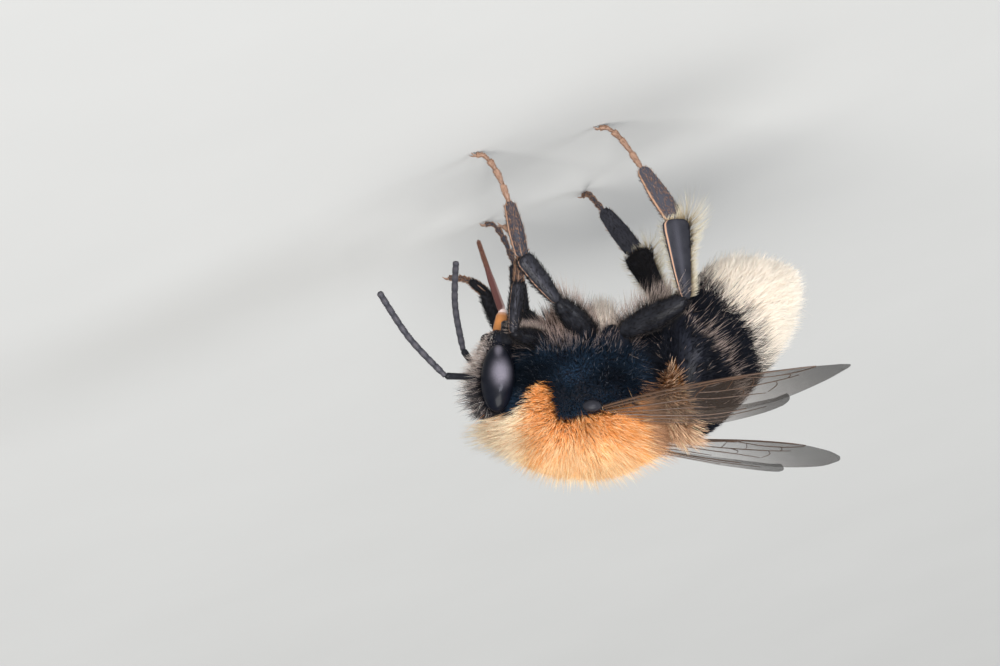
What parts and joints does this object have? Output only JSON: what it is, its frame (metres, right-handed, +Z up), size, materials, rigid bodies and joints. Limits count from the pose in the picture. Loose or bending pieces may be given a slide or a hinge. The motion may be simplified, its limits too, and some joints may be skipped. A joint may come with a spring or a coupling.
{
  "type": "tree bumblebee model",
  "caption": "Life-size still model of a tree bumblebee worker with ginger thorax, black abdomen and white tail, on its feet with tongue out.",
  "frame": {"origin": "centre of the bounding box on the floor plane, under the rear of the thorax", "axes": "+X from tail to head, +Y towards the bee's left, +Z up from the floor it stands on"},
  "size_m": [0.0184, 0.0122, 0.0162],
  "materials": {
    "black_coat": "soft black hair",
    "ginger_coat": "dense orange-ginger hair",
    "cream_coat": "creamy white hair",
    "black_shell": "glossy black shell",
    "rust_shell": "satin reddish-brown shell",
    "amber_shell": "satin amber shell",
    "eye_lens": "glossy black compound eye",
    "wing_membrane": "thin smoky brown membrane"
  },
  "bodies": {
    "root": {"abdomen_segment_1": "ginger_coat", "abdomen_segment_2": "black_coat", "abdomen_segment_3": "black_coat", "abdomen_segment_4": "black_coat", "abdomen_segment_5": "cream_coat", "abdomen_segment_6": "cream_coat", "eye_left": "eye_lens", "eye_right": "eye_lens", "feeler_left_first_joint": "black_shell", "feeler_left_whip": "black_shell", "feeler_right_first_joint": "black_shell", "feeler_right_whip": "black_shell", "forewing_left": "wing_membrane", "forewing_right": "wing_membrane", "head": "black_coat", "hindwing_left": "wing_membrane", "hindwing_right": "wing_membrane", "jaw_left": "rust_shell", "jaw_right": "rust_shell", "left_front_first_toe": "rust_shell", "left_front_shin": "black_shell", "left_front_thigh": "black_shell", "left_front_toes": "rust_shell", "left_hind_first_toe": "rust_shell", "left_hind_shin": "black_shell", "left_hind_thigh": "black_shell", "left_hind_toes": "rust_shell", "left_mid_first_toe": "rust_shell", "left_mid_shin": "black_shell", "left_mid_thigh": "black_shell", "left_mid_toes": "rust_shell", "right_front_first_toe": "rust_shell", "right_front_shin": "black_shell", "right_front_thigh": "black_shell", "right_front_toes": "rust_shell", "right_hind_first_toe": "rust_shell", "right_hind_shin": "black_shell", "right_hind_thigh": "black_shell", "right_hind_toes": "rust_shell", "right_mid_first_toe": "rust_shell", "right_mid_shin": "black_shell", "right_mid_thigh": "black_shell", "right_mid_toes": "rust_shell", "tegula_left": "black_shell", "tegula_right": "black_shell", "thorax": "ginger_coat", "tongue_base": "amber_shell", "tongue_sheath": "rust_shell", "tongue_tip": "rust_shell"}
  },
  "joints": []
}
